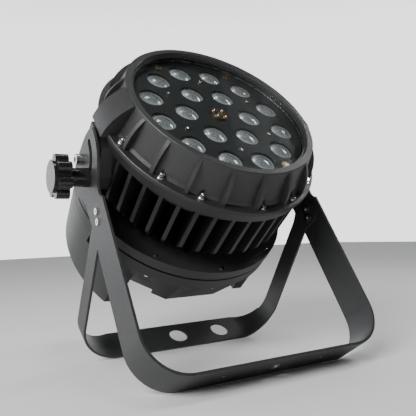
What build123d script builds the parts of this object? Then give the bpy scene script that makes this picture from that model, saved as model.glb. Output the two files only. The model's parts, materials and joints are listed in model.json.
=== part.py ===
from build123d import *
import os
from math import cos, hypot, radians, sin

# Zoom wash light (par can) on a double yoke. All lengths in millimetres.
# +X runs along the tilt axis, +Z is up, and the light shines towards -Y and up.

# ---- Driving dimensions: stand ------------------------------------------------
STRIP = 3.0                 # thickness of both yokes' steel strip
FRONT_HALF = 150.0          # tilt-axis centre to the front yoke's outer face
REAR_HALF = FRONT_HALF - STRIP
FRONT_RAKE = 32.0           # front legs' angle from the vertical
REAR_RAKE = 31.85           # rear legs' angle from the vertical
FRONT_REACH = 273.4         # pivot to the outer face of the front bar, down the leg
REAR_REACH = 229.4          # the same for the rear bar
FRONT_EDGES = (-19.2, 26.0)  # rear and front edge of the front strip, across the leg
REAR_LEG_EDGES = (55.4, 81.1)
REAR_BAR_EDGES = (43.3, 87.3)
BEND_RADIUS = 47.0          # outer radius of both yokes' bends
REAR_LEAN = 0.0203          # inward lean of the rear legs, mm per mm
PIVOT_BORE = 4.08
SLOT_RADIUS = 29.05         # clamp slot's centre line about the pivot
SLOT_HALF = 4.075
SLOT_FROM, SLOT_TO = 147.0, 247.0
JOIN_POINTS = ((-42.6, -61.5), (-45.9, -72.8))

# ---- Driving dimensions: head, as stations along the optical axis ----------------
HEAD_TILT = 41.0            # optical axis above the horizontal
RING_FACE = 92.3
RING_RADIUS = 119.0
RING_BORE = 111.2
LIP_BACK = 87.0
FLANGE_TOP = 53.0
SPLIT = 48.3                # bezel flange meets the heatsink band
BAND_BACK = 36.2
PLATE_TOP = 30.0            # LED side of the heatsink's base plate
PLATE_BACK = 22.0
FIN_BACK = -46.5            # fins end on the rear plate
REAR_PLATE_BACK = -59.9
COVER_FRONT = -63.0
COVER_FLANGE = -78.0
COVER_BACK = -134.5
FOOT_BACK = -166.0
BOSS_FACE = 144.0           # pivot bosses, from the centre plane
BOSS_ROOT = 118.0
FINS = 40
PANEL_FRONT = 79.0
PANEL_BACK = 77.0
TRAY_FRONT = 60.0
TRAY_BACK = 58.0
LENS_RINGS = ((84.8, 12, 15.0), (44.0, 6, 0.0))   # radius, count, first angle
LENS_RADIUS = 14.4
PANEL_SCREW_RADIUS = 65.2
POST_RADIUS = 103.0
POST_ANGLES = (60.0, 120.0, 240.0, 300.0)
SCREW_ANGLES = (13.9, 41.2, 63.0, 85.8, 118.3, 139.3, 166.1)
BEZEL_SCREW_RADIUS = 130.6
COVER_SCREW_RADIUS = 134.0
KNOB_REACH = 192.0
BOLT_REACH = 158.6

BUTTON_RADIUS = 4.5
SOCKET_RADIUS = 11.8
DISPLAY_Y = 66.0
BUTTON_Y = 40.0
VENT_Y = -2.0
WALL = 4.0                  # cover wall
FACET_APOTHEM = 139.8 * cos(radians(18))
FACET_SLOPE = (139.8 - 116.4) * cos(radians(18)) / (COVER_FLANGE + 1 - COVER_BACK)
FACET_COS = 1 / hypot(1, FACET_SLOPE)

# ---- Frame: the origin is on the floor, under the middle of the whole light -------
front_out = (0.0, -sin(radians(FRONT_RAKE)), -cos(radians(FRONT_RAKE)))
front_across = (0.0, -cos(radians(FRONT_RAKE)), sin(radians(FRONT_RAKE)))
rear_across = (0.0, -cos(radians(REAR_RAKE)), -sin(radians(REAR_RAKE)))
pivot_height = -(FRONT_REACH * front_out[2] + FRONT_EDGES[0] * front_across[2])
front_end = FRONT_REACH * front_out[1] + FRONT_EDGES[1] * front_across[1]
rear_end = 179.5            # rearmost point of the cover feet, behind the pivot
PIVOT = Vector((KNOB_REACH - BOLT_REACH) / 2, -(front_end + rear_end) / 2, pivot_height)
OPTICAL = (0.0, -cos(radians(HEAD_TILT)), sin(radians(HEAD_TILT)))

SIDE = Plane(origin=PIVOT, x_dir=(0, 1, 0), z_dir=(1, 0, 0))
FRONT = Plane(origin=PIVOT, x_dir=(1, 0, 0), z_dir=front_across)
REAR = Plane(origin=PIVOT, x_dir=(1, 0, 0), z_dir=rear_across)
HEAD = Plane(origin=PIVOT, x_dir=(1, 0, 0), z_dir=OPTICAL)

os.makedirs("parts", exist_ok=True)


def save(builder, name, frame=Plane.XY):
    """Stand a finished piece in the light's frame and write it."""
    builder.part.location = frame.location
    builder.part.label = name
    export_step(builder.part, f"parts/{name}.step")


def turned(*points, mode=Mode.ADD):
    """Turn a closed outline, given as (radius, station) points, about the optical axis."""
    with BuildSketch(Plane.XZ) as outline:
        with BuildLine():
            Polyline(*points, close=True)
        make_face()
    revolve(outline.sketch, axis=Axis.Z, mode=mode)


def disc(radius, low, high, centre=(0.0, 0.0), mode=Mode.ADD):
    """A round slab square to the optical axis, from one station to another."""
    with BuildSketch(Plane.XY.offset(low)) as face:
        with Locations(centre):
            Circle(radius)
    extrude(face.sketch, amount=high - low, mode=mode)


def polar(radius, angle):
    """A point on a circle about the optical axis."""
    return (radius * cos(radians(angle)), radius * sin(radians(angle)))


def both_sides(angles):
    """The given upper angles and their mirror images below."""
    return [sign * angle for sign in (1, -1) for angle in angles]


def cap_screws(points, seat, head, shank, down=1.0):
    """Socket cap screws: head is (radius, height), shank is (radius, length)."""
    head_radius, head_height = head
    shank_radius, shank_length = shank
    top = seat + down * head_height
    for radius, height in ((head_radius, head_height), (shank_radius, -shank_length)):
        with BuildSketch(Plane.XY.offset(seat)) as rounds:
            with Locations(*points):
                Circle(radius)
        extrude(rounds.sketch, amount=down * height)
    with BuildSketch(Plane.XY.offset(top)) as sockets:
        with Locations(*points):
            RegularPolygon(head_radius * 0.5, 6)
    extrude(sockets.sketch, amount=-down * head_height * 0.55, mode=Mode.SUBTRACT)


lens_points = [
    polar(radius, first + k * 360 / count)
    for radius, count, first in LENS_RINGS
    for k in range(count)
]
panel_screw_points = [polar(PANEL_SCREW_RADIUS, 30 + 60 * k) for k in range(6)]
post_points = [polar(POST_RADIUS, angle) for angle in POST_ANGLES]
bezel_screw_points = [polar(BEZEL_SCREW_RADIUS, a) for a in both_sides(SCREW_ANGLES)]
cover_screw_points = [polar(COVER_SCREW_RADIUS, 18 + 36 * k) for k in range(10)]
clamp_points = [polar(115.2, 15 + 30 * k) for k in range(12)]
stud_point = (-SLOT_RADIUS * cos(radians(1.6)), -SLOT_RADIUS * sin(radians(1.6)))
button_points = [(x, BUTTON_Y) for x in (-30, -10, 10, 30)]
socket_points = [(x, y) for x in (-34, 34) for y in (-28, -66)]


# ---- Stand -----------------------------------------------------------------------
def yoke_strip(plane, half, reach, edges, top, lean=0.0):
    """A U-shaped strip: two legs, two bends and the floor bar."""
    with BuildSketch(plane.offset(edges[0])) as strip:
        for inset, mode in ((0, Mode.ADD), (STRIP, Mode.SUBTRACT)):
            side = [(half - inset, top + inset), (half - inset - lean * (reach - 50), -reach + inset)]
            radii = [BEND_RADIUS - inset]
            if lean:
                side.insert(1, (half - inset, -50))
                radii.insert(0, 20)
            other_side = [(-x, y) for x, y in reversed(side)]
            with BuildLine():
                FilletPolyline(*side, *other_side, radius=radii + radii[::-1])
                Line(other_side[-1], side[0])
            make_face(mode=mode)
    extrude(strip.sketch, amount=edges[1] - edges[0])


def in_both_plates(depth=STRIP, half=FRONT_HALF):
    """The two side planes whose sketches, extruded by depth, fill the plates."""
    return (SIDE.offset(half - depth), SIDE.offset(-half))


def bar_holes(plane, reach, across, spread, centre_radius, side_radius):
    """Three holes through a floor bar."""
    bar = Plane(origin=plane.origin, x_dir=(1, 0, 0), z_dir=plane.y_dir)
    with BuildSketch(bar.offset(-reach - 1)) as holes:
        with Locations((0, -across)):
            Circle(centre_radius)
        with Locations((-spread, -across), (spread, -across)):
            Circle(side_radius)
    extrude(holes.sketch, amount=STRIP + 2, mode=Mode.SUBTRACT)


def side_point(along, across, out, normal):
    """A point beside the pivot from its distance down a leg and across it."""
    return (along * out[1] + across * normal[1], along * out[2] + across * normal[2])


leg_front = side_point(72, FRONT_EDGES[1], front_out, front_across)
leg_back = side_point(78, FRONT_EDGES[0], front_out, front_across)
with BuildPart() as front_yoke:
    yoke_strip(FRONT, FRONT_HALF, FRONT_REACH, FRONT_EDGES, -70)
    with BuildSketch(*in_both_plates()):
        with BuildLine():
            crown = ThreePointArc((-34.5, 31), (-48.3, 0), (-46.2, -24))
            throat = TangentArc(crown @ 1, leg_front, tangent=crown % 1)
            Polyline(leg_front, leg_back, (-16.9, -65.7))
            ThreePointArc((-16.9, -65.7), (-6.8, -52.8), (9.4, -43.4))
            Polyline((9.4, -43.4), (24, -40.2))
            ThreePointArc((24, -40.2), (30.5, -36.5), (32.4, -30))
            ThreePointArc((32.4, -30), (28, -8), (11, 9.3))
            Polyline((11, 9.3), (-5, 21.6))
            ThreePointArc((-5, 21.6), (-17, 28), (-29, 31.5))
            Line((-29, 31.5), (-34.5, 31))
        make_face()
    extrude(amount=STRIP)
    with BuildSketch(*in_both_plates(STRIP + 1, FRONT_HALF + 0.5)):
        Circle(PIVOT_BORE)
        with Locations(*JOIN_POINTS):
            Circle(2.6)
        slot_span = radians((SLOT_TO - SLOT_FROM) / 2)
        slot_middle = (SLOT_FROM + SLOT_TO) / 2
        with BuildLine(Plane.XY.rotated((0, 0, slot_middle))) as slot_line:
            ThreePointArc((SLOT_RADIUS * cos(slot_span), -SLOT_RADIUS * sin(slot_span)), (SLOT_RADIUS, 0),
                          (SLOT_RADIUS * cos(slot_span), SLOT_RADIUS * sin(slot_span)))
        SlotArc(slot_line.edges()[0], 2 * SLOT_HALF)
    extrude(amount=STRIP + 1, mode=Mode.SUBTRACT)
    bar_holes(FRONT, FRONT_REACH, 3.4, 64, 6.5, 3.3)
save(front_yoke, "front_yoke")

rear_middle = sum(REAR_BAR_EDGES) / 2
with BuildPart() as rear_yoke:
    yoke_strip(REAR, REAR_HALF, REAR_REACH, (40, 95), -12, REAR_LEAN)
    # Seen along the legs: the bar is wide and narrows to the legs inside the bends.
    low_bar, high_bar = REAR_BAR_EDGES
    low_leg, high_leg = REAR_LEG_EDGES
    with BuildSketch(Plane(origin=PIVOT, x_dir=(1, 0, 0), z_dir=REAR.y_dir).offset(-REAR_REACH - 5)):
        with BuildLine():
            Polyline((-97, -high_bar), (97, -high_bar), (141.2, -high_leg), (141.2, -95), (150, -95), (150, -40),
                     (141.2, -40), (141.2, -low_leg), (97, -low_bar), (-97, -low_bar), (-141.2, -low_leg),
                     (-141.2, -40), (-150, -40), (-150, -95), (-141.2, -95), (-141.2, -high_leg), close=True)
        make_face()
    extrude(amount=REAR_REACH, mode=Mode.INTERSECT)
    # Seen from the side: a rounded head carries the screws above each narrow leg.
    rear_side = Plane(origin=PIVOT, x_dir=REAR.z_dir, z_dir=(1, 0, 0))
    with BuildSketch(rear_side.offset(-FRONT_HALF)):
        with BuildLine():
            Polyline((low_leg, 58), (52, 42), (51, 30), (62, 19), (78, 19), (89.5, 27), (90, 33), (87, 42), (82, 53),
                     (high_leg, 62), (high_leg, 206), (95, 206), (95, 240), (40, 240), (40, 206), (low_leg, 206),
                     close=True)
        rear_outline = make_face()
        fillet(rear_outline.vertices().sort_by(Axis.Y)[:9], radius=4)
    extrude(amount=2 * FRONT_HALF, mode=Mode.INTERSECT)
    with BuildSketch(SIDE.offset(-FRONT_HALF)):
        with Locations(*JOIN_POINTS):
            Circle(2.6)
    extrude(amount=2 * FRONT_HALF, mode=Mode.SUBTRACT)
    bar_holes(REAR, REAR_REACH, rear_middle, 66, 12.5, 12.5)
save(rear_yoke, "rear_yoke")


# ---- Fasteners between the yokes ------------------------------------------------
with BuildPart() as yoke_screws:
    for plane, away in ((SIDE.offset(FRONT_HALF), 1), (SIDE.offset(-FRONT_HALF), -1)):
        with BuildSketch(plane) as heads:
            with Locations(*JOIN_POINTS):
                Circle(3.9)
        extrude(amount=1.6 * away)
        with BuildSketch(plane):
            with Locations(*JOIN_POINTS):
                Circle(2.5)
        extrude(amount=-9.0 * away)
        with BuildSketch(plane.offset(1.6 * away)):
            with Locations(*JOIN_POINTS):
                RegularPolygon(1.75, 6)
        extrude(amount=-1.3 * away, mode=Mode.SUBTRACT)
save(yoke_screws, "yoke_screws")

with BuildPart() as yoke_nuts:
    for plane, away in ((SIDE.offset(REAR_HALF - STRIP), -1), (SIDE.offset(STRIP - REAR_HALF), 1)):
        with BuildSketch(plane):
            with Locations(*JOIN_POINTS):
                Circle(4.6)
                Circle(2.55, mode=Mode.SUBTRACT)
        extrude(amount=2.4 * away)
save(yoke_nuts, "yoke_nuts")


# ---- Bezel: front housing with ribs, side lugs and a stepped mouth -----------------
with BuildPart() as rib:
    with BuildSketch(Plane.XZ):
        with BuildLine():
            rib_edge = ThreePointArc((119.4, 90.4), (130.2, 73.0), (134.3, 51.5))
            Polyline(rib_edge @ 1, (122.5, 51.5), (119.0, 88.0), rib_edge @ 0)
        make_face()
    extrude(amount=2.2, both=True)

with BuildPart() as bezel:
    turned((RING_BORE, RING_FACE), (RING_RADIUS - 0.8, RING_FACE), (RING_RADIUS, RING_FACE - 0.8),
           (119.3, 90.0), (126.6, 56.5), (128.8, FLANGE_TOP), (138.4, FLANGE_TOP), (139.2, FLANGE_TOP - 0.8),
           (139.2, SPLIT), (121.0, SPLIT), (118.4, 81.2), (113.2, 81.2), (113.2, LIP_BACK), (108.5, LIP_BACK),
           (108.5, 88.4), (110.6, 88.4))
    # Ribs stand on the wall at every 18 degrees, except under the two lugs.
    for first in (18, 198):
        with PolarLocations(0, 9, start_angle=first, angular_range=144, endpoint=True):
            add(rib.part)
    # Lugs carry the pivot bosses' tops.
    with BuildSketch(Plane.XZ):
        with BuildLine():
            lug_edge = ThreePointArc((119.0, 91.4), (137.0, 72.0), (145.6, SPLIT))
            Polyline(lug_edge @ 1, (122.0, SPLIT), (119.0, 84.0), lug_edge @ 0)
        make_face()
        mirror(about=Plane.YZ)
    extrude(amount=18, both=True)
    # Flats for the screws in the foot of the wall, and their holes.
    with BuildSketch(Plane.XY.offset(FLANGE_TOP)):
        with Locations(*bezel_screw_points):
            Circle(5.2)
    extrude(amount=24, mode=Mode.SUBTRACT)
    with BuildSketch(Plane.XY.offset(SPLIT - 1)):
        with Locations(*bezel_screw_points):
            Circle(2.2)
    extrude(amount=8, mode=Mode.SUBTRACT)
    with BuildSketch(Plane.XY.offset(81.0)):
        with Locations(*clamp_points):
            Circle(1.6)
    extrude(amount=5.2, mode=Mode.SUBTRACT)
save(bezel, "bezel", HEAD)

# ---- Window and its seals ------------------------------------------------------------
with BuildPart() as glass_seal_front:
    turned((109.2, 86.2), (112.7, 86.2), (112.7, LIP_BACK), (109.2, LIP_BACK))
save(glass_seal_front, "glass_seal_front", HEAD)

with BuildPart() as front_glass:
    turned((0, 82.0), (112.3, 82.0), (112.7, 82.4), (112.7, 85.8), (112.3, 86.2), (0, 86.2))
save(front_glass, "front_glass", HEAD)

with BuildPart() as glass_seal_rear:
    turned((110.9, 81.2), (112.7, 81.2), (112.7, 82.0), (110.9, 82.0))
save(glass_seal_rear, "glass_seal_rear", HEAD)

with BuildPart() as glass_clamp_ring:
    turned((110.8, 79.7), (117.5, 79.7), (117.5, 81.2), (110.8, 81.2))
    with BuildSketch(Plane.XY.offset(79.0)):
        with Locations(*clamp_points):
            Circle(1.7)
    extrude(amount=3, mode=Mode.SUBTRACT)
save(glass_clamp_ring, "glass_clamp_ring", HEAD)

with BuildPart() as clamp_ring_screws:
    cap_screws(clamp_points, 79.7, (2.6, 2.0), (1.5, 6.0), down=-1)
save(clamp_ring_screws, "clamp_ring_screws", HEAD)

with BuildPart() as bezel_screws:
    cap_screws(bezel_screw_points, FLANGE_TOP + 0.8, (3.5, 4.0), (2.0, 12.0))
    with BuildSketch(Plane.XY.offset(FLANGE_TOP)):
        with Locations(*bezel_screw_points):
            Circle(4.5)
    extrude(amount=0.8)
save(bezel_screws, "bezel_screws", HEAD)

with BuildPart() as bezel_gasket:
    turned((123.2, 46.9), (126.0, 46.9), (126.0, SPLIT), (123.2, SPLIT))
save(bezel_gasket, "bezel_gasket", HEAD)

# ---- Heatsink: band, base plate, hub, radial fins and the pivot bosses ----------------
with BuildPart() as fin:
    with BuildSketch(Plane.XZ):
        with BuildLine():
            Polyline((118, BAND_BACK + 0.4), (134.6, BAND_BACK + 0.4), (133.2, -18))
            ThreePointArc((133.2, -18), (130.4, -24.6), (123.5, -28))
            Polyline((123.5, -28), (111.5, FIN_BACK), (62, FIN_BACK), (62, 24), (118, 24), (118, BAND_BACK + 0.4))
        make_face()
    extrude(amount=2.3, both=True)

with BuildPart() as heatsink:
    turned((11.4, PLATE_BACK), (121, PLATE_BACK), (121, BAND_BACK), (135.6, BAND_BACK), (136.2, BAND_BACK + 0.6),
           (139.0, SPLIT), (126.2, SPLIT), (126.2, 46.9), (123.0, 46.9), (123.0, SPLIT), (117, SPLIT),
           (117, PLATE_TOP), (11.4, PLATE_TOP))
    turned((56, PLATE_BACK), (56, FIN_BACK), (66, FIN_BACK), (66, PLATE_BACK))
    with PolarLocations(0, FINS):
        add(fin.part)
    # Pivot bosses hang below the band on both sides and take the tilt bolts.
    with BuildSketch(Plane.YZ.offset(BOSS_ROOT), Plane.YZ.offset(-BOSS_FACE)):
        with BuildLine():
            Polyline((-26, BAND_BACK + 4), (-38.5, 8), (-38.5, -11), (-14, -21), (10, -21), (20, -8),
                     (20, BAND_BACK + 4), close=True)
        boss = make_face()
        fillet(boss.vertices().group_by(Axis.Y)[0] + boss.vertices().group_by(Axis.Y)[1], radius=7)
    extrude(amount=BOSS_FACE - BOSS_ROOT)
    with BuildSketch(Plane.YZ.offset(BOSS_FACE - 28), Plane.YZ.offset(-BOSS_FACE)):
        Circle(4.05)
    extrude(amount=28, mode=Mode.SUBTRACT)
    with BuildSketch(Plane.YZ.offset(-BOSS_FACE)):
        with Locations(stud_point):
            Circle(4.05)
    extrude(amount=24, mode=Mode.SUBTRACT)
    # Threaded holes: bezel, LED board, guide posts, motor and rear plate.
    with BuildSketch(Plane.XY.offset(SPLIT)):
        with Locations(*bezel_screw_points):
            Circle(2.05)
    extrude(amount=-9, mode=Mode.SUBTRACT)
    with BuildSketch(Plane.XY.offset(PLATE_TOP)):
        with Locations(*panel_screw_points):
            Circle(1.55)
    extrude(amount=-5, mode=Mode.SUBTRACT)
    with BuildSketch(Plane.XY.offset(PLATE_TOP)):
        with Locations(*post_points):
            Circle(3.05)
    extrude(amount=-6, mode=Mode.SUBTRACT)
    with BuildSketch(Plane.XY.offset(PLATE_BACK)):
        with GridLocations(31, 31, 2, 2):
            Circle(1.7)
    extrude(amount=PLATE_TOP - PLATE_BACK, mode=Mode.SUBTRACT)
    with BuildSketch(Plane.XY.offset(FIN_BACK)):
        with PolarLocations(61, 6):
            Circle(2.05)
    extrude(amount=12, mode=Mode.SUBTRACT)
save(heatsink, "heatsink", HEAD)

# ---- Light engine on the base plate ----------------------------------------------------
with BuildPart() as led_board:
    with BuildSketch(Plane.XY.offset(PLATE_TOP)):
        Circle(96)
        Circle(28, mode=Mode.SUBTRACT)
        with Locations(*panel_screw_points):
            Circle(1.7, mode=Mode.SUBTRACT)
    extrude(amount=2)
save(led_board, "led_board", HEAD)

with BuildPart() as led_chips:
    with BuildSketch(Plane.XY.offset(PLATE_TOP + 2)):
        with Locations(*lens_points):
            Rectangle(7, 7)
    extrude(amount=1.2)
    with BuildSketch(Plane.XY.offset(PLATE_TOP + 3.2)):
        with Locations(*lens_points):
            Circle(2.8)
    extrude(amount=1.4, taper=25)
save(led_chips, "led_chips", HEAD)

with BuildPart() as led_board_screws:
    cap_screws(panel_screw_points, PLATE_TOP + 2, (2.7, 2.0), (1.5, 6.0))
save(led_board_screws, "led_board_screws", HEAD)

with BuildPart() as guide_posts:
    with BuildSketch(Plane.XY.offset(PLATE_TOP - 6)):
        with Locations(*post_points):
            Circle(3.0)
    extrude(amount=80.6 - PLATE_TOP + 6)
save(guide_posts, "guide_posts", HEAD)

# ---- Zoom drive: a stepper motor behind the base plate turns a lead screw ----------------
with BuildPart() as zoom_motor:
    with BuildSketch(Plane.XY.offset(PLATE_BACK - 34)) as motor_plan:
        Rectangle(42.3, 42.3)
        chamfer(motor_plan.vertices(), length=4)
    extrude(amount=34)
    disc(11.0, PLATE_BACK, PLATE_BACK + 2)
    disc(4.06, PLATE_BACK - 28, PLATE_BACK + 2, mode=Mode.SUBTRACT)
    with BuildSketch(Plane.XY.offset(PLATE_BACK)):
        with GridLocations(31, 31, 2, 2):
            Circle(1.55)
    extrude(amount=-5, mode=Mode.SUBTRACT)
save(zoom_motor, "zoom_motor", HEAD)

with BuildPart() as motor_screws:
    cap_screws([(x, y) for x in (-15.5, 15.5) for y in (-15.5, 15.5)], PLATE_TOP, (2.7, 2.4), (1.5, 12.0))
save(motor_screws, "motor_screws", HEAD)

with BuildPart() as lead_screw:
    disc(4.0, PLATE_BACK - 27.5, 80.4)
    chamfer(lead_screw.edges().group_by(Axis.Z)[-1], length=0.8)
save(lead_screw, "lead_screw", HEAD)

# ---- Lens carriage ------------------------------------------------------------------------
with BuildPart() as lens_panel:
    with BuildSketch(Plane.XY.offset(PANEL_BACK)):
        Circle(109.8)
        Circle(5.2, mode=Mode.SUBTRACT)
        with PolarLocations(8, 4, start_angle=45):
            Circle(1.6, mode=Mode.SUBTRACT)
        with Locations(*lens_points):
            Circle(15.0, mode=Mode.SUBTRACT)
        with Locations(*panel_screw_points):
            Circle(1.7, mode=Mode.SUBTRACT)
        with Locations(*post_points):
            Circle(5.1, mode=Mode.SUBTRACT)
    extrude(amount=PANEL_FRONT - PANEL_BACK)
save(lens_panel, "lens_panel", HEAD)

with BuildPart() as one_lens:
    with BuildSketch(Plane.XZ):
        with BuildLine():
            dome = ThreePointArc((0, 79.6), (7.4, 78.5), (LENS_RADIUS, 75.6))
            Polyline(dome @ 1, (15.9, 75.6), (15.9, 74.0), (14.6, 74.0), (6.5, 62.0), (4.0, 62.0), (4.0, 67.0),
                     (0, 67.0), (0, 79.6))
        make_face()
    revolve(axis=Axis.Z)

with BuildPart() as lenses:
    with Locations(*lens_points):
        add(one_lens.part)
save(lenses, "lenses", HEAD)

with BuildPart() as one_holder:
    turned((16.1, PANEL_BACK), (17.2, PANEL_BACK), (17.2, TRAY_FRONT), (7.4, TRAY_FRONT), (7.4, 61.6), (16.1, 74.0))

with BuildPart() as lens_holders:
    with Locations(*lens_points):
        add(one_holder.part)
save(lens_holders, "lens_holders", HEAD)

with BuildPart() as lens_tray:
    with BuildSketch(Plane.XY.offset(TRAY_BACK)):
        Circle(108.6)
        Circle(6.0, mode=Mode.SUBTRACT)
        with Locations(*lens_points):
            Circle(7.4, mode=Mode.SUBTRACT)
        with Locations(*panel_screw_points):
            Circle(1.7, mode=Mode.SUBTRACT)
        with Locations(*post_points):
            Circle(5.1, mode=Mode.SUBTRACT)
    extrude(amount=TRAY_FRONT - TRAY_BACK)
save(lens_tray, "lens_tray", HEAD)

with BuildPart() as panel_spacers:
    with BuildSketch(Plane.XY.offset(TRAY_FRONT)):
        with Locations(*panel_screw_points):
            RegularPolygon(3.5, 6)
            Circle(1.6, mode=Mode.SUBTRACT)
    extrude(amount=PANEL_BACK - TRAY_FRONT)
save(panel_spacers, "panel_spacers", HEAD)

with BuildPart() as panel_screws:
    cap_screws(panel_screw_points, PANEL_FRONT, (2.9, 1.8), (1.5, 12.0))
save(panel_screws, "panel_screws", HEAD)

with BuildPart() as lead_nut:
    disc(5.1, 66.0, PANEL_FRONT)
    disc(11.0, PANEL_FRONT, PANEL_FRONT + 1.8)
    disc(4.06, 65.0, 82.0, mode=Mode.SUBTRACT)
    with BuildSketch(Plane.XY.offset(PANEL_FRONT)):
        with PolarLocations(8, 4, start_angle=45):
            Circle(1.6)
    extrude(amount=2, mode=Mode.SUBTRACT)
save(lead_nut, "lead_nut", HEAD)

with BuildPart() as lead_nut_screws:
    cap_screws([polar(8, 45 + 90 * k) for k in range(4)], PANEL_FRONT + 1.8, (2.4, 1.0), (1.5, 6.0))
save(lead_nut_screws, "lead_nut_screws", HEAD)

with BuildPart() as guide_bushes:
    with BuildSketch(Plane.XY.offset(TRAY_BACK)):
        with Locations(*post_points):
            Circle(5.0)
    extrude(amount=PANEL_FRONT - TRAY_BACK)
    with BuildSketch(Plane.XY.offset(PANEL_FRONT)):
        with Locations(*post_points):
            Circle(6.5)
    extrude(amount=1.0)
    with BuildSketch(Plane.XY.offset(TRAY_BACK)):
        with Locations(*post_points):
            Circle(3.05)
    extrude(amount=30, mode=Mode.SUBTRACT)
save(guide_bushes, "guide_bushes", HEAD)

# ---- Rear plate, gasket and rear cover ------------------------------------------------------
with BuildPart() as rear_plate:
    turned((16, -51.5), (127, -51.5), (127, REAR_PLATE_BACK), (140.2, REAR_PLATE_BACK), (140.7, -59.4),
           (140.7, -47.0), (140.2, FIN_BACK), (16, FIN_BACK))
    with BuildSketch(Plane.XY.offset(REAR_PLATE_BACK)):
        with Locations(*cover_screw_points):
            Circle(2.05)
    extrude(amount=20, mode=Mode.SUBTRACT)
    with BuildSketch(Plane.XY.offset(-52)):
        with PolarLocations(61, 6):
            Circle(2.2)
    extrude(amount=8, mode=Mode.SUBTRACT)
save(rear_plate, "rear_plate", HEAD)

with BuildPart() as rear_plate_screws:
    cap_screws([polar(61, 60 * k) for k in range(6)], -51.5, (3.5, 4.0), (2.0, 14.0), down=-1)
save(rear_plate_screws, "rear_plate_screws", HEAD)

with BuildPart() as rear_gasket:
    turned((128.0, COVER_FRONT), (137.5, COVER_FRONT), (137.5, REAR_PLATE_BACK), (128.0, REAR_PLATE_BACK))
    with BuildSketch(Plane.XY.offset(COVER_FRONT)):
        with Locations(*cover_screw_points):
            Circle(2.1)
    extrude(amount=4, mode=Mode.SUBTRACT)
save(rear_gasket, "rear_gasket", HEAD)


def foot_outline(inset, station, half_height, reach, inner, bulge):
    """One end of a cover foot: a bowed outer edge between two flat sides."""
    corner = reach - bulge
    with BuildSketch(Plane.XY.offset(station)) as outline:
        with BuildLine():
            bow = ThreePointArc((-corner + inset, -half_height + inset), (-reach + inset, 0),
                                (-corner + inset, half_height - inset))
            Polyline(bow @ 1, (-inner, half_height - inset), (-inner, -half_height + inset), bow @ 0)
        make_face()
        mirror(about=Plane.YZ)
    return outline.sketch


def cover_body(inset, mode):
    """The cover's ten-sided body, solid, drawn in by a wall thickness."""
    with BuildSketch(Plane.XY.offset(COVER_FLANGE + 1)) as wide:
        RegularPolygon(139.8 - inset, 10)
    with BuildSketch(Plane.XY.offset(COVER_BACK + inset)) as narrow:
        RegularPolygon(116.4 - inset, 10)
    loft([wide.sketch, narrow.sketch], mode=mode)


def cover_feet(inset, mode):
    """The two feet, solid, drawn in by a wall thickness."""
    wide_feet = foot_outline(inset, COVER_FLANGE + 1, 91, 139.0, 78, 33.8)
    narrow_feet = foot_outline(inset, FOOT_BACK + inset, 88, 132.0, 92 - inset, 27.0)
    for side in (0, 1):
        loft([wide_feet.faces().sort_by(Axis.X)[-side], narrow_feet.faces().sort_by(Axis.X)[-side]], mode=mode)


with BuildPart() as rear_cover:
    cover_body(0.0, Mode.ADD)
    # A sunk panel in each diagonal facet, which the feet partly cover.
    for angle in (-126, -54, 54, 126):
        facet = Plane((0, 0, COVER_FLANGE + 1), x_dir=(-sin(radians(angle)), cos(radians(angle)), 0),
                      z_dir=(cos(radians(angle)), sin(radians(angle)), -FACET_SLOPE))
        with BuildSketch(facet.offset(FACET_APOTHEM * FACET_COS - 2.5)) as panel:
            with Locations((0, -31.0)):
                Rectangle(31, 60)
        extrude(panel.sketch, amount=8, mode=Mode.SUBTRACT)
    cover_feet(0.0, Mode.ADD)
    foot_ends = rear_cover.faces().filter_by(Axis.Z).group_by(Axis.Z)[0]
    fillet(foot_ends.edges(), radius=9)
    turned((0, COVER_FLANGE), (139.6, COVER_FLANGE), (140.0, COVER_FLANGE + 0.4), (140.0, COVER_FRONT - 0.4),
           (139.6, COVER_FRONT), (0, COVER_FRONT))
    cover_body(WALL, Mode.SUBTRACT)
    cover_feet(WALL, Mode.SUBTRACT)
    turned((0, COVER_FLANGE), (127, COVER_FLANGE), (127, COVER_FRONT), (0, COVER_FRONT), mode=Mode.SUBTRACT)
    # Screw notches round the flange.
    with BuildSketch(Plane.XY.offset(COVER_FLANGE)):
        with Locations(*cover_screw_points):
            Circle(4.6)
    extrude(amount=-18, mode=Mode.SUBTRACT)
    with BuildSketch(Plane.XY.offset(COVER_FLANGE - 1)):
        with Locations(*cover_screw_points):
            Circle(2.2)
    extrude(amount=20, mode=Mode.SUBTRACT)
    # Openings in the back for the display, buttons, vent and sockets.
    with BuildSketch(Plane.XY.offset(COVER_BACK - 1)):
        with Locations((0, DISPLAY_Y)):
            Rectangle(52, 24)
        with Locations(*button_points):
            Circle(BUTTON_RADIUS + 0.3)
        with Locations(*socket_points):
            Circle(SOCKET_RADIUS)
        with Locations((0, VENT_Y)):
            Circle(4.0)
    extrude(amount=8, mode=Mode.SUBTRACT)
save(rear_cover, "rear_cover", HEAD)

with BuildPart() as cover_screws:
    cap_screws(cover_screw_points, COVER_FLANGE, (3.5, 4.0), (2.0, 33.0), down=-1)
save(cover_screws, "cover_screws", HEAD)

# ---- Electronics inside the rear cover --------------------------------------------------------
with BuildPart() as power_supply:
    with BuildSketch(Plane.XY.offset(-84)):
        with Locations((0, 34)):
            Rectangle(130, 62)
    extrude(amount=26)
    for x in (-55, 55):
        for y in (9, 59):
            disc(3.5, -58, -51.5, centre=(x, y))
save(power_supply, "power_supply", HEAD)

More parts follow.
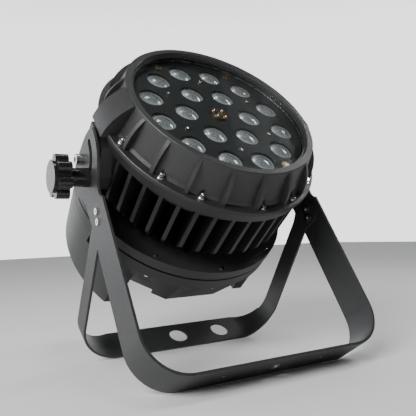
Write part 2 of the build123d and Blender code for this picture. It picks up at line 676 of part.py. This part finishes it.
with BuildPart() as driver_board:
    with BuildSketch(Plane.XY.offset(-66)):
        with Locations((0, -42)):
            Rectangle(140, 66)
    extrude(amount=1.6)
    with BuildSketch(Plane.XY.offset(-66)):
        with Locations((0, -42)):
            with GridLocations(32, 30, 4, 2):
                Rectangle(14, 14)
    extrude(amount=-9)
    for x in (-62, 62):
        for y in (-68, -16):
            disc(3.0, -64.4, -51.5, centre=(x, y))
save(driver_board, "driver_board", HEAD)

with BuildPart() as control_board:
    with BuildSketch(Plane.XY.offset(-118)):
        with Locations((0, 53)):
            Rectangle(96, 62)
    extrude(amount=1.6)
    with BuildSketch(Plane.XY.offset(-118)):
        with Locations((0, DISPLAY_Y)):
            Rectangle(48, 22)
    extrude(amount=-10)
    with BuildSketch(Plane.XY.offset(-118)):
        with Locations(*button_points):
            Rectangle(6, 6)
    extrude(amount=-7)
    for x in (-42, 42):
        for y in (29, 77):
            disc(3.0, COVER_BACK + WALL, -118, centre=(x, y))
save(control_board, "control_board", HEAD)

with BuildPart() as display_window:
    with BuildSketch(Plane.XY.offset(COVER_BACK - 1.2)):
        with Locations((0, DISPLAY_Y)):
            RectangleRounded(60, 32, 4)
    extrude(amount=1.2)
    with BuildSketch(Plane.XY.offset(COVER_BACK)):
        with Locations((0, DISPLAY_Y)):
            Rectangle(51.6, 23.6)
    extrude(amount=WALL)
save(display_window, "display_window", HEAD)

for number, (x, y) in enumerate(button_points, start=1):
    with BuildPart() as menu_button:
        disc(BUTTON_RADIUS, COVER_BACK - 2.2, -127.4, centre=(x, y))
        disc(BUTTON_RADIUS + 1.3, -129.2, -127.4, centre=(x, y))
        fillet(menu_button.edges().group_by(Axis.Z)[0], radius=0.8)
    save(menu_button, f"menu_button_{number}", HEAD)

with BuildPart() as breather_vent:
    with BuildSketch(Plane.XY.offset(COVER_BACK - 4)):
        with Locations((0, VENT_Y)):
            RegularPolygon(8, 6)
    extrude(amount=4)
    disc(4.0, COVER_BACK, COVER_BACK + WALL + 2, centre=(0, VENT_Y))
save(breather_vent, "breather_vent", HEAD)


def panel_socket(centre, contacts, pitch_radius, contact_radius, keyed):
    """A round panel socket: square flange, barrel, and a face with small contact holes."""
    with BuildSketch(Plane.XY.offset(COVER_BACK - 2.4)) as flange:
        with Locations(centre):
            RectangleRounded(28, 31, 3)
    extrude(flange.sketch, amount=2.4)
    disc(11.6, COVER_BACK - 3.6, COVER_BACK + 18, centre=centre)
    disc(10.2, COVER_BACK - 3.6, COVER_BACK - 2.4, centre=centre, mode=Mode.SUBTRACT)
    with BuildSketch(Plane.XY.offset(COVER_BACK - 2.4)) as face:
        with Locations(centre):
            with PolarLocations(pitch_radius, contacts, start_angle=90):
                Circle(contact_radius)
            if keyed:
                with PolarLocations(7.6, 3):
                    Rectangle(2.2, 4)
            with GridLocations(21, 24, 2, 2):
                Circle(1.5)
    extrude(face.sketch, amount=10 if keyed else 6, mode=Mode.SUBTRACT)


socket_styles = {
    "power_in_socket": (socket_points[1], 3, 4.2, 1.6, True),
    "power_out_socket": (socket_points[3], 3, 4.2, 1.6, True),
    "data_in_socket": (socket_points[0], 3, 5.0, 1.1, False),
    "data_out_socket": (socket_points[2], 3, 5.0, 1.3, False),
}
for name, style in socket_styles.items():
    with BuildPart() as socket:
        panel_socket(*style)
    save(socket, name, HEAD)

# ---- Tilt pivot, its washers and the clamp knob -------------------------------------------------
with BuildPart() as pivot_bolts:
    for away in (1, -1):
        with BuildSketch(Plane.YZ.offset(away * (FRONT_HALF + 0.4))):
            Circle(6.5)
        extrude(amount=away * (BOLT_REACH - FRONT_HALF - 0.4))
        with BuildSketch(Plane.YZ.offset(away * (FRONT_HALF + 0.4))):
            Circle(4.0)
        extrude(amount=-away * 30)
        with BuildSketch(Plane.YZ.offset(away * BOLT_REACH)):
            RegularPolygon(3.6, 6)
        extrude(amount=-away * 4.5, mode=Mode.SUBTRACT)
save(pivot_bolts, "pivot_bolts", HEAD)

with BuildPart() as friction_washers:
    for start in (BOSS_FACE, -BOSS_FACE - 2.9):
        with BuildSketch(Plane.YZ.offset(start)):
            Circle(19)
            Circle(4.1, mode=Mode.SUBTRACT)
        extrude(amount=2.9)
save(friction_washers, "friction_washers", HEAD)

knob_plane = Plane.YZ.offset(-KNOB_REACH)
with BuildPart() as clamp_knob:
    with BuildSketch(knob_plane.offset(3.4)):
        with Locations(stud_point):
            Circle(18.8)
            with PolarLocations(18.6, 7):
                Circle(6.4)
    extrude(amount=14.6)
    with BuildSketch(knob_plane):
        with Locations(stud_point):
            Circle(17.5)
    extrude(amount=3.4)
    with BuildSketch(knob_plane.offset(18)):
        with Locations(stud_point):
            Circle(10.4)
    extrude(amount=18)
    with BuildSketch(knob_plane.offset(12)):
        with Locations(stud_point):
            Circle(4.0)
    extrude(amount=30, mode=Mode.SUBTRACT)
save(clamp_knob, "clamp_knob", HEAD)

with BuildPart() as clamp_stud:
    with BuildSketch(knob_plane.offset(12)):
        with Locations(stud_point):
            Circle(4.0)
    extrude(amount=KNOB_REACH - 12 - BOSS_FACE + 23)
save(clamp_stud, "clamp_stud", HEAD)

with BuildPart() as knob_washer:
    with BuildSketch(Plane.YZ.offset(-FRONT_HALF - 5.9)):
        with Locations(stud_point):
            Circle(10.8)
            Circle(4.1, mode=Mode.SUBTRACT)
    extrude(amount=5.7)
save(knob_washer, "knob_washer", HEAD)
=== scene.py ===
import json
from math import cos, pi, radians, sin

import bmesh
import bpy
from mathutils import Matrix, Vector

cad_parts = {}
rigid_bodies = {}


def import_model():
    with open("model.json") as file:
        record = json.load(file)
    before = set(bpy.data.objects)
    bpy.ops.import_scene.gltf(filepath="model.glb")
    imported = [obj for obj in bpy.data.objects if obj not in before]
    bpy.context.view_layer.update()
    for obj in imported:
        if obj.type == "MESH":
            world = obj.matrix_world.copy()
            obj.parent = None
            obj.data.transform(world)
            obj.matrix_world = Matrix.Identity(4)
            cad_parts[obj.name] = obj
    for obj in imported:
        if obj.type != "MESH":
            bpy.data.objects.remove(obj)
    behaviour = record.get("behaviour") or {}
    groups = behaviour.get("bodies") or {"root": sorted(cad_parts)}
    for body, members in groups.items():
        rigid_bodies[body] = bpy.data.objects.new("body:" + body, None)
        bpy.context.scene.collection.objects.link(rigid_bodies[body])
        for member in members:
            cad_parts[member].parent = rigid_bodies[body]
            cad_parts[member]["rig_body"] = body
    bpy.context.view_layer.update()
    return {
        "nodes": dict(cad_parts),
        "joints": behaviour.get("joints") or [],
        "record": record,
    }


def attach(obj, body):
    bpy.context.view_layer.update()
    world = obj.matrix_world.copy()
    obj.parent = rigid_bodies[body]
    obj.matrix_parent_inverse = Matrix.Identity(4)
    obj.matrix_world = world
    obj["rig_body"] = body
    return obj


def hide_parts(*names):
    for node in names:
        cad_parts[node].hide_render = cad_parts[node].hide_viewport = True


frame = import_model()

# ---- Places taken from the frame; shop dimensions below are in millimetres ----------
MM = 0.001
joints = {joint["name"]: joint for joint in frame["joints"]}
pivot = Vector(joints["head_tilt"]["pos_m"])
optical = Vector(joints["zoom"]["axis"]).normalized()
across = Vector((1, 0, 0))
up_face = optical.cross(across).normalized()
HEAD = Matrix.Translation(pivot) @ Matrix((across, up_face, optical)).transposed().to_4x4() @ Matrix.Scale(MM, 4)

LENS_RINGS = ((84.8, 12, 15.0), (44.0, 6, 0.0))     # radius, count, first angle
LENS_CROWN = 14.2                                   # radius of a lens's domed part


def polar(radius, angle):
    return (radius * cos(radians(angle)), radius * sin(radians(angle)))


lens_points = [polar(r, first + k * 360 / count) for r, count, first in LENS_RINGS for k in range(count)]


# ---- Finishes -------------------------------------------------------------------------
def finish(name, colour, metallic=0.0, roughness=0.5, **sockets):
    """A Principled material with its even values on the shader's own sockets."""
    material = bpy.data.materials.new(name)
    material.use_nodes = True
    shader = material.node_tree.nodes["Principled BSDF"]
    shader.inputs["Base Color"].default_value = (*colour, 1)
    shader.inputs["Metallic"].default_value = metallic
    shader.inputs["Roughness"].default_value = roughness
    for socket, value in sockets.items():
        shader.inputs[socket.replace("_", " ")].default_value = value
    return material


def add_grain(material, scale, tones, rough=None, bump=0.0, depth=0.0001, detail=3.0):
    """Noise on Object coordinates: a colour ramp, a roughness range and a bump."""
    tree = material.node_tree
    shader = tree.nodes["Principled BSDF"]
    place = tree.nodes.new("ShaderNodeTexCoord")
    noise = tree.nodes.new("ShaderNodeTexNoise")
    noise.inputs["Scale"].default_value = scale
    noise.inputs["Detail"].default_value = detail
    tree.links.new(place.outputs["Object"], noise.inputs["Vector"])
    ramp = tree.nodes.new("ShaderNodeValToRGB")
    ramp.color_ramp.elements[0].position = 0.3
    ramp.color_ramp.elements[1].position = 0.7
    for stop, tone in zip(ramp.color_ramp.elements, tones):
        stop.color = (*tone, 1)
    tree.links.new(noise.outputs["Fac"], ramp.inputs["Fac"])
    tree.links.new(ramp.outputs["Color"], shader.inputs["Base Color"])
    if rough:
        spread = tree.nodes.new("ShaderNodeMapRange")
        spread.inputs["From Min"].default_value = 0.3
        spread.inputs["From Max"].default_value = 0.7
        spread.inputs["To Min"].default_value = rough[0]
        spread.inputs["To Max"].default_value = rough[1]
        tree.links.new(noise.outputs["Fac"], spread.inputs["Value"])
        tree.links.new(spread.outputs["Result"], shader.inputs["Roughness"])
    if bump:
        relief = tree.nodes.new("ShaderNodeBump")
        relief.inputs["Strength"].default_value = bump
        relief.inputs["Distance"].default_value = depth
        tree.links.new(noise.outputs["Fac"], relief.inputs["Height"])
        tree.links.new(relief.outputs["Normal"], shader.inputs["Normal"])
    return material


def powder_coat(name, tone):
    """Fine-textured satin black powder: a small orange peel with a slight speckle."""
    dark = [0.74 * channel for channel in tone]
    light = [1.26 * channel for channel in tone]
    material = finish(name, tone, roughness=0.46, Specular_IOR_Level=0.5)
    return add_grain(material, 560.0, (dark, light), rough=(0.38, 0.56), bump=0.6, depth=0.0003)


def bright_metal(name, tone, roughness, metallic=1.0):
    dark = [0.82 * channel for channel in tone]
    return add_grain(finish(name, tone, metallic, roughness), 260.0, (dark, tone),
                     rough=(roughness * 0.8, roughness * 1.3))


def moulded(name, tone, rough, scale=500.0, bump=0.1):
    light = [1.3 * channel for channel in tone]
    return add_grain(finish(name, tone, 0.0, rough[0]), scale, (tone, light), rough=rough, bump=bump)


def window_glass():
    """Clear toughened glass: see-through, with a mirror sheen that grows at low angles."""
    material = bpy.data.materials.new("window_glass")
    material.use_nodes = True
    tree = material.node_tree
    tree.nodes.remove(tree.nodes["Principled BSDF"])
    clear = tree.nodes.new("ShaderNodeBsdfTransparent")
    clear.inputs["Color"].default_value = (0.93, 0.95, 0.95, 1)
    gloss = tree.nodes.new("ShaderNodeBsdfGlossy")
    gloss.inputs["Color"].default_value = (1, 1, 1, 1)
    gloss.inputs["Roughness"].default_value = 0.02
    facing = tree.nodes.new("ShaderNodeLayerWeight")
    facing.inputs["Blend"].default_value = 0.5
    grazing = tree.nodes.new("ShaderNodeMath")
    grazing.operation = "POWER"
    grazing.inputs[1].default_value = 5.0
    sheen = tree.nodes.new("ShaderNodeMapRange")
    sheen.inputs["To Min"].default_value = 0.04
    sheen.inputs["To Max"].default_value = 1.0
    place = tree.nodes.new("ShaderNodeTexCoord")
    haze = tree.nodes.new("ShaderNodeTexNoise")
    haze.inputs["Scale"].default_value = 30.0
    ripple = tree.nodes.new("ShaderNodeBump")
    ripple.inputs["Strength"].default_value = 0.02
    ripple.inputs["Distance"].default_value = 0.0005
    blend = tree.nodes.new("ShaderNodeMixShader")
    tree.links.new(place.outputs["Object"], haze.inputs["Vector"])
    tree.links.new(haze.outputs["Fac"], ripple.inputs["Height"])
    tree.links.new(ripple.outputs["Normal"], gloss.inputs["Normal"])
    tree.links.new(facing.outputs["Facing"], grazing.inputs[0])
    tree.links.new(grazing.outputs["Value"], sheen.inputs["Value"])
    tree.links.new(sheen.outputs["Result"], blend.inputs["Fac"])
    tree.links.new(clear.outputs["BSDF"], blend.inputs[1])
    tree.links.new(gloss.outputs["BSDF"], blend.inputs[2])
    tree.links.new(blend.outputs["Shader"], tree.nodes["Material Output"].inputs["Surface"])
    return material


def lens_plastic():
    """Clear moulded acrylic: a frosted, mottled crown, with a painted highlight that lightens the colour in a
    ring near the rim.
    """
    material = finish("lens_plastic", (0.45, 0.46, 0.47), 0.0, 0.12, IOR=1.49, Transmission_Weight=0.2,
                      Coat_Weight=1.0, Coat_Roughness=0.05)
    add_grain(material, 900.0, ((0.12, 0.124, 0.128), (0.48, 0.49, 0.50)), rough=(0.12, 0.36), bump=0.25,
              depth=0.0002)
    tree = material.node_tree
    shader = tree.nodes["Principled BSDF"]
    speckle = shader.inputs["Base Color"].links[0].from_socket
    # Painted highlight: the colour is mixed towards a light grey near the rim. This stands in for light caught in
    # the thick edge of the lens.
    rim_highlight = tree.nodes.new("ShaderNodeAttribute")
    rim_highlight.attribute_name = "rim_highlight"
    rim_highlight_ramp = tree.nodes.new("ShaderNodeMapRange")
    rim_highlight_ramp.interpolation_type = "SMOOTHSTEP"
    rim_highlight_ramp.inputs["From Min"].default_value = 0.45
    rim_highlight_ramp.inputs["From Max"].default_value = 0.95
    blend = tree.nodes.new("ShaderNodeMix")
    blend.data_type = "RGBA"
    blend.inputs[7].default_value = (0.66, 0.67, 0.68, 1)
    tree.links.new(rim_highlight.outputs["Fac"], rim_highlight_ramp.inputs["Value"])
    tree.links.new(rim_highlight_ramp.outputs["Result"], blend.inputs[0])
    tree.links.new(speckle, blend.inputs[6])
    tree.links.new(blend.outputs[2], shader.inputs["Base Color"])
    return material


FINISHES = {
    "yoke_paint": powder_coat("yoke_paint", (0.027, 0.0277, 0.0285)),
    "bezel_paint": powder_coat("bezel_paint", (0.021, 0.0213, 0.0217)),
    "heatsink_paint": powder_coat("heatsink_paint", (0.013, 0.0131, 0.0133)),
    "cover_paint": powder_coat("cover_paint", (0.022, 0.0223, 0.0227)),
    "stainless": bright_metal("stainless", (0.78, 0.76, 0.72), 0.22),
    "bright_steel": bright_metal("bright_steel", (0.62, 0.62, 0.62), 0.28),
    "brass": bright_metal("brass", (0.40, 0.25, 0.13), 0.32),
    "window_glass": window_glass(),
    "lens_plastic": lens_plastic(),
    "display_window": moulded("display_window", (0.012, 0.013, 0.016), (0.05, 0.10), 60.0, 0.0),
    "black_plastic": moulded("black_plastic", (0.008, 0.008, 0.008), (0.42, 0.60)),
    "knob_plastic": moulded("knob_plastic", (0.010, 0.010, 0.0105), (0.16, 0.28), 700.0, 0.08),
    "rubber_seal": moulded("rubber_seal", (0.012, 0.012, 0.012), (0.60, 0.80)),
    "circuit_board": moulded("circuit_board", (0.30, 0.31, 0.30), (0.40, 0.55), 200.0, 0.0),
    "led_package": moulded("led_package", (0.70, 0.62, 0.30), (0.25, 0.40), 300.0, 0.0),
    "motor_metal": bright_metal("motor_metal", (0.20, 0.20, 0.21), 0.40),
    "button_rubber": moulded("button_rubber", (0.020, 0.020, 0.021), (0.50, 0.65)),
    "socket_plastic": moulded("socket_plastic", (0.013, 0.013, 0.014), (0.34, 0.50)),
}
slot_of = {row["node"]: row["material_slot"] for row in frame["record"]["subparts"]}
for node, piece in frame["nodes"].items():
    piece.data.materials.clear()
    piece.data.materials.append(FINISHES[slot_of[node]])


# ---- Making pieces -------------------------------------------------------------------------
def hand_over(shape, name, body, replaced, slot, place=HEAD, angle=35.0):
    """Stand a finished shape in the frame, smooth it and register it."""
    bmesh.ops.remove_doubles(shape, verts=shape.verts, dist=0.0005)
    bmesh.ops.recalc_face_normals(shape, faces=shape.faces)
    bmesh.ops.transform(shape, matrix=place, verts=shape.verts)
    mesh = bpy.data.meshes.new(name)
    shape.to_mesh(mesh)
    shape.free()
    mesh.polygons.foreach_set("use_smooth", [True] * len(mesh.polygons))
    mesh.set_sharp_from_angle(angle=radians(angle))
    mesh.materials.append(FINISHES[slot])
    piece = bpy.data.objects.new(name, mesh)
    bpy.context.scene.collection.objects.link(piece)
    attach(piece, body)
    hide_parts(*replaced)
    return piece


def softened(node, name, width, segments=2, angle=28.0):
    """A merged copy of a CAD piece whose edges are broken by a small round."""
    source = frame["nodes"][node]
    shape = bmesh.new()
    shape.from_mesh(source.data)
    bmesh.ops.remove_doubles(shape, verts=shape.verts, dist=0.00001)
    bmesh.ops.dissolve_limit(shape, angle_limit=radians(0.6), verts=shape.verts, edges=shape.edges)
    mesh = bpy.data.meshes.new(name)
    shape.to_mesh(mesh)
    shape.free()
    mesh.polygons.foreach_set("use_smooth", [True] * len(mesh.polygons))
    mesh.set_sharp_from_angle(angle=radians(angle))
    mesh.materials.append(FINISHES[slot_of[node]])
    piece = bpy.data.objects.new(name, mesh)
    bpy.context.scene.collection.objects.link(piece)
    rounds = piece.modifiers.new("rounds", "BEVEL")
    rounds.width = width * MM
    rounds.segments = segments
    rounds.limit_method = "ANGLE"
    rounds.angle_limit = radians(angle)
    rounds.use_clamp_overlap = True
    rounds.harden_normals = True
    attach(piece, source["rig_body"])
    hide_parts(node)
    return piece




softened("front_yoke", "front_yoke_strip", 0.7)
softened("rear_yoke", "rear_yoke_strip", 0.7)
softened("rear_cover", "rear_cover_casting", 0.8)


def build_lenses():
    """Eighteen clear moulded domes, each with a flat rim that sits in the panel."""
    dome = bmesh.new()
    outline = [(0.0, 79.6), (3.4, 79.4), (6.8, 78.7), (9.8, 77.6), (12.3, 76.4), (LENS_CROWN, 75.6), (15.9, 75.6),
               (15.9, 74.0), (14.6, 74.0), (6.5, 62.0), (0.0, 62.0)]
    corners = [dome.verts.new((radius, 0, station)) for radius, station in outline]
    edges = [dome.edges.new(pair) for pair in zip(corners, corners[1:])]
    bmesh.ops.spin(dome, geom=corners + edges, cent=(0, 0, 0), axis=(0, 0, 1), dvec=(0, 0, 0), angle=2 * pi,
                   steps=40, use_merge=True)
    bmesh.ops.remove_doubles(dome, verts=dome.verts, dist=0.001)
    # Distance from the lens axis as a fraction of the crown radius. The lens finish uses it to paint a highlight
    # near the rim.
    rim_highlight = dome.verts.layers.float.new("rim_highlight")
    for corner in dome.verts:
        corner[rim_highlight] = corner.co.xy.length / LENS_CROWN
    one = bpy.data.meshes.new("one_lens")
    dome.to_mesh(one)
    dome.free()
    tray = bmesh.new()
    for x, y in lens_points:
        before = len(tray.verts)
        tray.from_mesh(one)
        bmesh.ops.translate(tray, vec=(x, y, 0), verts=tray.verts[before:])
    bpy.data.meshes.remove(one)
    hand_over(tray, "lens_domes", "lens_carriage", ("lenses",), "lens_plastic", angle=50.0)


build_lenses()


# ---- Floor, lights and camera ----------------------------------------------------------------
def build_floor():
    shape = bmesh.new()
    bmesh.ops.create_grid(shape, x_segments=1, y_segments=1, size=4.0)
    mesh = bpy.data.meshes.new("studio_floor")
    shape.to_mesh(mesh)
    shape.free()
    mesh.materials.append(add_grain(finish("studio_floor", (0.80, 0.80, 0.80), 0.0, 0.7), 3.0,
                                    ((0.79, 0.79, 0.79), (0.81, 0.81, 0.81))))
    floor = bpy.data.objects.new("studio_floor", mesh)
    bpy.context.scene.collection.objects.link(floor)


def soft_box(name, place, aim, size, power):
    """A rectangular soft light at a place from the pivot, turned to a point on the light."""
    lamp = bpy.data.lights.new(name, "AREA")
    lamp.shape = "RECTANGLE"
    lamp.size, lamp.size_y = size
    lamp.energy = power
    box = bpy.data.objects.new(name, lamp)
    bpy.context.scene.collection.objects.link(box)
    box.location = pivot + Vector(place)
    box.rotation_euler = (Vector(aim) - Vector(place)).to_track_quat("-Z", "Y").to_euler()


def build_studio():
    build_floor()
    world = bpy.data.worlds.new("studio")
    world.use_nodes = True
    tree = world.node_tree
    bearing = tree.nodes.new("ShaderNodeTexCoord")
    parts = tree.nodes.new("ShaderNodeSeparateXYZ")
    behind = tree.nodes.new("ShaderNodeMapRange")
    behind.inputs["From Min"].default_value = -0.35
    behind.inputs["From Max"].default_value = 0.45
    behind.inputs["To Min"].default_value = 0.07
    behind.inputs["To Max"].default_value = 2.2
    low = tree.nodes.new("ShaderNodeMapRange")
    low.inputs["From Min"].default_value = 0.35
    low.inputs["From Max"].default_value = 0.70
    low.inputs["To Min"].default_value = 1.0
    low.inputs["To Max"].default_value = 0.02
    glow = tree.nodes.new("ShaderNodeMath")
    glow.operation = "MULTIPLY"
    tree.links.new(bearing.outputs["Generated"], parts.inputs["Vector"])
    tree.links.new(parts.outputs["Y"], behind.inputs["Value"])
    tree.links.new(parts.outputs["Z"], low.inputs["Value"])
    tree.links.new(behind.outputs["Result"], glow.inputs[0])
    tree.links.new(low.outputs["Result"], glow.inputs[1])
    tree.links.new(glow.outputs["Value"], tree.nodes["Background"].inputs["Strength"])
    tree.nodes["Background"].inputs["Color"].default_value = (0.97, 0.98, 1.0, 1)
    bpy.context.scene.world = world
    soft_box("key_light", (-1.5, -0.8, 0.9), (0, 0, 0), (1.0, 1.0), 48)
    soft_box("window_glow", (1.05, 0.35, 1.30), (0, 0, 0), (0.8, 0.5), 0.10)
    soft_box("right_glint", (1.14, -0.06, 0.94), (0, 0, 0), (0.22, 0.36), 4.5)
    soft_box("overhead", (0.10, -0.12, 1.50), (0, 0, 0), (0.40, 0.25), 4.0)
    camera = bpy.data.cameras.new("camera")
    camera.lens = 47.24
    camera.sensor_width = 36.0
    viewer = bpy.data.objects.new("camera", camera)
    bpy.context.scene.collection.objects.link(viewer)
    viewer.location = pivot + Vector((-0.35226, -0.60413, -0.08898))
    viewer.rotation_euler = (radians(92.6148), radians(2.1474), radians(-31.2621))
    bpy.context.scene.camera = viewer


build_studio()
